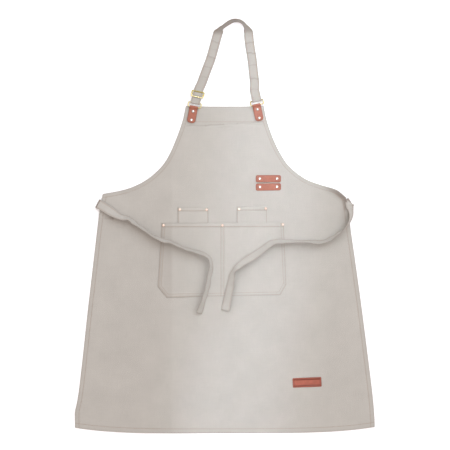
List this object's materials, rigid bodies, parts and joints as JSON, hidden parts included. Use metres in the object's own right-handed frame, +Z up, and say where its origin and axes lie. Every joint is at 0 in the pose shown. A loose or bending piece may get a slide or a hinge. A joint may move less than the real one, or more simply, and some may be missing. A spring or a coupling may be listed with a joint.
{
  "type": "canvas apron",
  "caption": "Bib apron of pale canvas lying flat, with patch pockets, riveted leather tabs and tool loops, waist ties and a neck strap on brass rings.",
  "frame": {"origin": "on the floor under the middle of the laid-out apron, neck strap included", "axes": "+Y from the hem to the neck, +X to the right as one looks down on the front, +Z up out of the front"},
  "size_m": [0.749, 1.0326, 0.0285],
  "materials": {
    "canvas": "matt plain weave, unbleached grey-beige",
    "leather": "smooth tan leather with darker cut edges",
    "brass": "polished pale brass plating",
    "steel": "polished nickel",
    "copper": "polished copper plating"
  },
  "bodies": {
    "root": {"body_panel": "canvas", "pocket_main": "canvas", "pen_pocket_left": "canvas", "pen_pocket_right": "canvas", "neck_strap": "canvas", "waist_tie_left": "canvas", "waist_tie_right": "canvas", "leather_tab_left": "leather", "leather_tab_right": "leather", "tool_loop_upper": "leather", "tool_loop_lower": "leather", "label_patch": "leather", "ring_left": "brass", "ring_right": "brass", "slide_buckle": "brass", "rivet_tab_left_upper": "steel", "rivet_tab_left_lower": "steel", "rivet_tab_right_upper": "steel", "rivet_tab_right_lower": "steel", "rivet_loop_upper_left": "steel", "rivet_loop_upper_right": "steel", "rivet_loop_lower_left": "steel", "rivet_loop_lower_right": "steel", "rivet_pocket_left": "copper", "rivet_pocket_middle": "copper", "rivet_pocket_right": "copper", "rivet_pen_left_outer": "copper", "rivet_pen_left_inner": "copper", "rivet_pen_right_outer": "copper", "rivet_pen_right_inner": "copper"}
  },
  "joints": []
}
